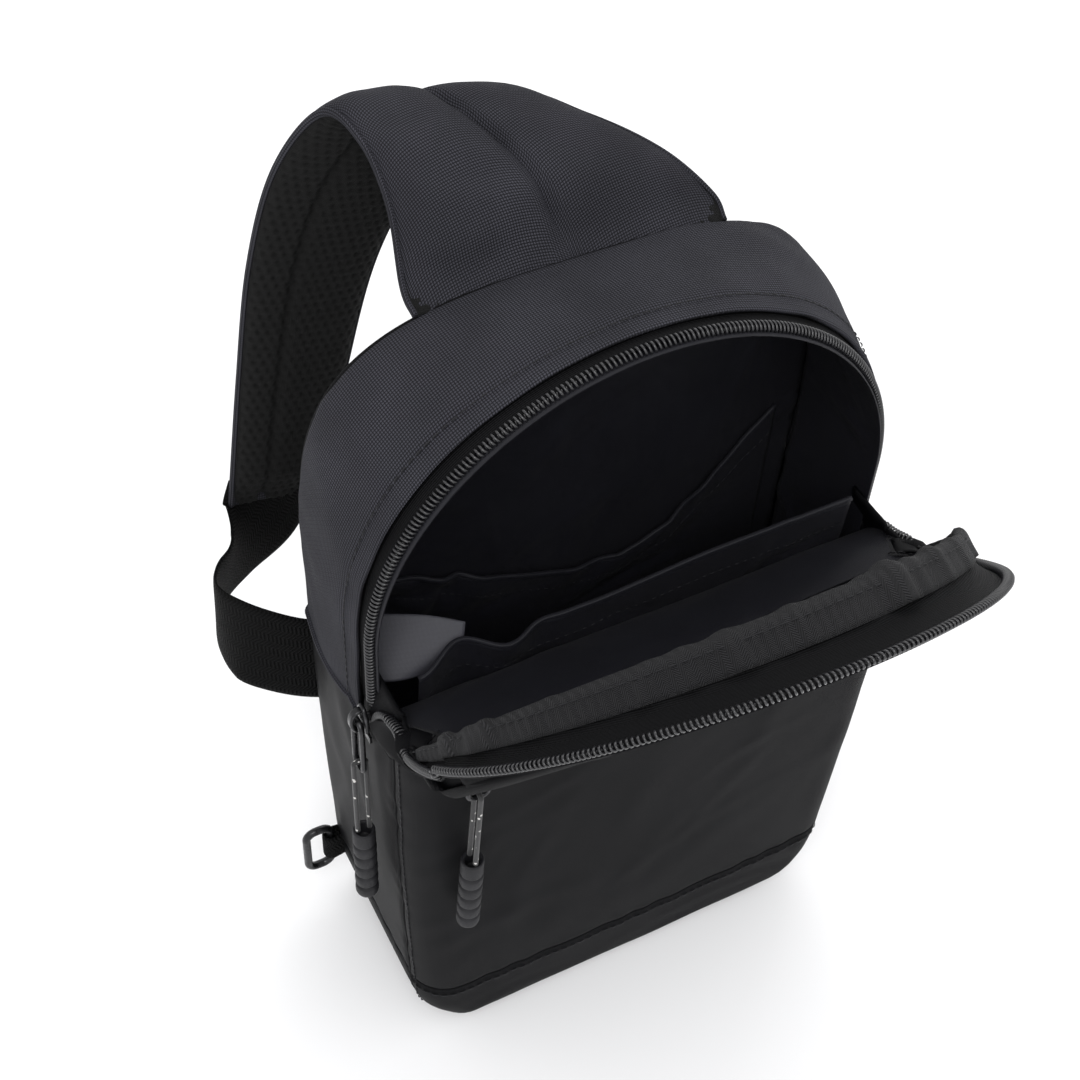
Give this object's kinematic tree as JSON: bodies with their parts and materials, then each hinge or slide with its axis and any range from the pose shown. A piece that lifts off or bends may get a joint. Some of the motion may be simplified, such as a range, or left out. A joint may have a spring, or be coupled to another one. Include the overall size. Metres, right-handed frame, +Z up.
{
  "type": "sling bag",
  "caption": "Small black one-shoulder sling bag with an arched zip opening, hinged front flap, padded tapering strap, webbing and corded zip pulls.",
  "frame": {"origin": "centre of the base, on the surface that the bag stands on", "axes": "+Z up, the zipped front faces -Y, +X is to the right as the bag is looked at from its front"},
  "size_m": [0.2366, 0.2472, 0.3407],
  "materials": {
    "oxford_cloth": "heavy oxford weave, matt",
    "smooth_cloth": "fine nylon twill, slightly satin",
    "spacer_mesh": "open spacer mesh",
    "foam": "sealed padding",
    "lining_cloth": "thin smooth nylon",
    "label_cloth": "satin label",
    "facing_tape": "herringbone twill facing",
    "zip_tape": "woven zip tape",
    "zip_coil": "moulded nylon coil",
    "black_metal": "black lacquered metal",
    "pull_plastic": "moulded plastic",
    "pull_rubber": "matt rubber",
    "fleck_cord": "braided cord with pale flecks",
    "webbing": "smooth woven webbing",
    "buckle_plastic": "moulded plastic",
    "board": "stiff board"
  },
  "bodies": {
    "root": {"back_panel_cover": "spacer_mesh", "back_panel_foam": "foam", "back_slip_pocket": "lining_cloth", "base_board": "board", "base_panel": "oxford_cloth", "body_zip_coil": "zip_coil", "body_zip_tape": "zip_tape", "care_label": "label_cloth", "front_base_band": "oxford_cloth", "front_inner_wall": "lining_cloth", "front_pocket_panel": "smooth_cloth", "front_slip_pocket": "lining_cloth", "main_lining": "lining_cloth", "pocket_zip_coil": "zip_coil", "pocket_zip_tape_lower": "zip_tape", "pocket_zip_tape_upper": "zip_tape", "side_panel_left": "smooth_cloth", "side_panel_right": "smooth_cloth", "tab_left": "oxford_cloth", "tab_right": "oxford_cloth", "upper_gusset": "oxford_cloth", "webbing": "webbing", "webbing_turn": "webbing", "zip_end_stops": "zip_coil"},
    "flap": {"flap_panel": "smooth_cloth", "flap_lining": "lining_cloth", "flap_gusset_left": "smooth_cloth", "flap_gusset_right": "smooth_cloth"},
    "flap_lip": {"flap_facing": "facing_tape", "flap_zip_tape": "zip_tape", "flap_zip_coil": "zip_coil"},
    "strap": {"strap_cover": "oxford_cloth", "strap_foam": "foam", "strap_mesh": "spacer_mesh"},
    "slider_left": {"slider_left": "black_metal"},
    "pull_ring_left": {"pull_ring_left": "pull_plastic"},
    "pull_left": {"pull_cord_left": "fleck_cord", "pull_barrel_left": "pull_rubber"},
    "slider_right": {"slider_right": "black_metal"},
    "pull_ring_right": {"pull_ring_right": "pull_plastic"},
    "pull_right": {"pull_cord_right": "fleck_cord", "pull_barrel_right": "pull_rubber"},
    "slider_pocket": {"slider_pocket": "black_metal"},
    "pull_ring_pocket": {"pull_ring_pocket": "pull_plastic"},
    "pull_pocket": {"pull_cord_pocket": "fleck_cord", "pull_barrel_pocket": "pull_rubber"},
    "d_ring_left": {"d_ring_left": "black_metal"},
    "d_ring_right": {"d_ring_right": "black_metal"},
    "snap_hook": {"snap_hook": "buckle_plastic"},
    "snap_hook_gate": {"snap_hook_gate": "buckle_plastic"},
    "strap_adjuster": {"strap_adjuster": "buckle_plastic"}
  },
  "joints": [
    {"name": "flap_hinge", "type": "hinge", "parent": "root", "child": "flap", "pos_m": [0, -0.011, 0.188], "axis": [1, 0, 0], "range_deg": [-35, 40]},
    {"name": "rim_turn_out", "type": "slide", "parent": "flap", "child": "flap_lip", "axis": [0, -0.9848, 0.1736], "range_m": [-0.0396, 0]},
    {"name": "strap_seam", "type": "hinge", "parent": "root", "child": "strap", "pos_m": [0, 0.0455, 0.303], "axis": [1, 0, 0], "range_deg": [-6, 12]},
    {"name": "slider_left_slide", "type": "slide", "parent": "root", "child": "slider_left", "axis": [0, 0, 1], "range_m": [0, 0.028]},
    {"name": "ring_left_swing", "type": "hinge", "parent": "slider_left", "child": "pull_ring_left", "pos_m": [-0.0991, -0.011, 0.186], "axis": [0, 0.9982, -0.0599], "range_deg": [0, 80]},
    {"name": "pull_left_swing", "type": "hinge", "parent": "pull_ring_left", "child": "pull_left", "pos_m": [-0.09958, -0.01244, 0.16205], "axis": [0, 0.9982, -0.0599], "range_deg": [0, 50]},
    {"name": "slider_right_slide", "type": "slide", "parent": "root", "child": "slider_right", "axis": [0, 0, 1], "range_m": [0, 0.028]},
    {"name": "ring_right_swing", "type": "hinge", "parent": "slider_right", "child": "pull_ring_right", "pos_m": [0.0991, -0.011, 0.186], "axis": [0, -0.9976, -0.0698], "range_deg": [-11, 80]},
    {"name": "pull_right_swing", "type": "hinge", "parent": "pull_ring_right", "child": "pull_right", "pos_m": [0.1038, -0.00936, 0.16252], "axis": [0, -0.9976, -0.0698], "range_deg": [0, 50]},
    {"name": "slider_pocket_slide", "type": "slide", "parent": "root", "child": "slider_pocket", "axis": [1, 0, 0], "range_m": [0, 0.144]},
    {"name": "ring_pocket_swing", "type": "hinge", "parent": "slider_pocket", "child": "pull_ring_pocket", "pos_m": [-0.072, -0.0461, 0.198], "axis": [-0.9988, 0, 0.0499], "range_deg": [0, 80]},
    {"name": "pull_pocket_swing", "type": "hinge", "parent": "pull_ring_pocket", "child": "pull_pocket", "pos_m": [-0.0732, -0.04682, 0.17404], "axis": [-0.9988, 0, 0.0499], "range_deg": [0, 50]},
    {"name": "d_ring_left_swing", "type": "hinge", "parent": "root", "child": "d_ring_left", "pos_m": [-0.0947, 0.038, 0.033], "axis": [0, 0, 1], "range_deg": [-50, 40]},
    {"name": "d_ring_right_swing", "type": "hinge", "parent": "root", "child": "d_ring_right", "pos_m": [0.0947, 0.038, 0.033], "axis": [0, 0, 1], "range_deg": [-6, 0]},
    {"name": "snap_hook_swing", "type": "hinge", "parent": "d_ring_right", "child": "snap_hook", "pos_m": [0.0972, 0.04768, 0.033], "axis": [0, 0, 1], "range_deg": [-6, 0]},
    {"name": "snap_gate", "type": "hinge", "parent": "snap_hook", "child": "snap_hook_gate", "pos_m": [0.0856, 0.05148, 0.03971], "axis": [0.5006, 0, 0.8657], "range_deg": [-20, 0], "stiffness_Nm_per_rad": 0.002},
    {"name": "adjuster_slide", "type": "slide", "parent": "root", "child": "strap_adjuster", "axis": [-0.8657, 0, 0.5006], "range_m": [0, 0.07]}
  ]
}
